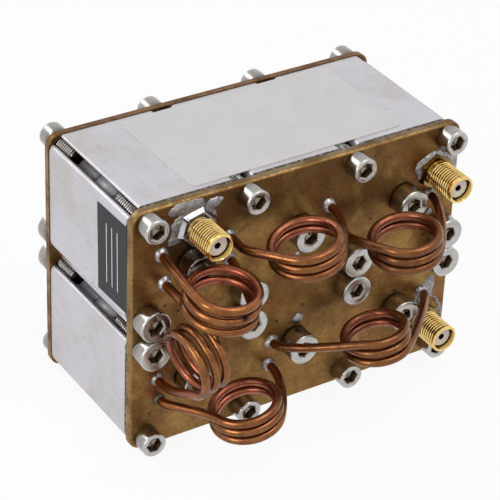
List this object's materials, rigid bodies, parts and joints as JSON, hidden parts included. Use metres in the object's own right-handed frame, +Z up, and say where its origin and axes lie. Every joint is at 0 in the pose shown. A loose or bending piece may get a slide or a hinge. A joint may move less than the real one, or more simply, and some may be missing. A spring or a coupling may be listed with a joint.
{
  "type": "rf duplexer",
  "caption": "Compact cavity duplexer: bored aluminium bodies clamped between brass plates, with wound copper links, coaxial jacks and tuning screws on the front.",
  "frame": {"origin": "bottom edge of the front plate, at the middle of its width and thickness", "axes": "+X across to the right seen from the front, +Y to the back plate, +Z up"},
  "size_m": [0.08, 0.0623, 0.058],
  "materials": {
    "patinated_brass": "aged golden brown brass sheet with darker blotches",
    "drawn_aluminium": "satin drawn aluminium",
    "solder": "dull silver solder",
    "copper_wire": "reddish brown tarnished copper",
    "gold_plate": "bright gold plating",
    "white_ptfe": "matt white fluoropolymer",
    "nickel_steel": "bright nickel-plated steel",
    "former_plastic": "translucent ivory plastic",
    "paper": "bare off-white paper label",
    "dark_label": "matt dark grey tape label"
  },
  "bodies": {
    "block": {"front_plate": "patinated_brass", "back_plate": "patinated_brass", "upper_body": "drawn_aluminium", "lower_body": "drawn_aluminium", "link_upper_right": "copper_wire", "link_upper_middle": "copper_wire", "link_upper_left": "copper_wire", "link_side": "copper_wire", "link_lower_left": "copper_wire", "link_lower_right": "copper_wire", "link_collars": "solder", "plate_solder": "solder", "jack_solder": "solder", "jack_left_shell": "gold_plate", "jack_left_insulator": "white_ptfe", "jack_left_contact": "gold_plate", "jack_upper_shell": "gold_plate", "jack_upper_insulator": "white_ptfe", "jack_upper_contact": "gold_plate", "jack_lower_shell": "gold_plate", "jack_lower_insulator": "white_ptfe", "jack_lower_contact": "gold_plate", "front_edge_screws": "nickel_steel", "front_middle_screws": "nickel_steel", "back_edge_screws": "nickel_steel", "back_middle_screws": "nickel_steel", "resonator_coil_1": "copper_wire", "resonator_coil_2": "copper_wire", "resonator_coil_3": "copper_wire", "resonator_coil_4": "copper_wire", "resonator_coil_5": "copper_wire", "resonator_coil_6": "copper_wire", "coil_former_1": "former_plastic", "coil_former_2": "former_plastic", "coil_former_3": "former_plastic", "coil_former_4": "former_plastic", "coil_former_5": "former_plastic", "coil_former_6": "former_plastic", "paper_label": "paper", "side_label": "dark_label"},
    "tuner_1": {"tuning_screw_1": "nickel_steel"},
    "tuner_2": {"tuning_screw_2": "nickel_steel"},
    "tuner_3": {"tuning_screw_3": "nickel_steel"},
    "tuner_4": {"tuning_screw_4": "nickel_steel"},
    "tuner_5": {"tuning_screw_5": "nickel_steel"},
    "tuner_6": {"tuning_screw_6": "nickel_steel"}
  },
  "joints": [
    {"name": "tuner_1_turn", "type": "hinge", "parent": "block", "child": "tuner_1", "pos_m": [-0.026, 0, 0.043], "axis": [0, -1, 0], "range_deg": [-200, 200]},
    {"name": "tuner_2_turn", "type": "hinge", "parent": "block", "child": "tuner_2", "pos_m": [0, 0, 0.043], "axis": [0, -1, 0], "range_deg": [-200, 200]},
    {"name": "tuner_3_turn", "type": "hinge", "parent": "block", "child": "tuner_3", "pos_m": [0.026, 0, 0.043], "axis": [0, -1, 0], "range_deg": [-200, 200]},
    {"name": "tuner_4_turn", "type": "hinge", "parent": "block", "child": "tuner_4", "pos_m": [-0.026, 0, 0.015], "axis": [0, -1, 0], "range_deg": [-200, 200]},
    {"name": "tuner_5_turn", "type": "hinge", "parent": "block", "child": "tuner_5", "pos_m": [0, 0, 0.015], "axis": [0, -1, 0], "range_deg": [-200, 200]},
    {"name": "tuner_6_turn", "type": "hinge", "parent": "block", "child": "tuner_6", "pos_m": [0.026, 0, 0.015], "axis": [0, -1, 0], "range_deg": [-200, 200]}
  ]
}
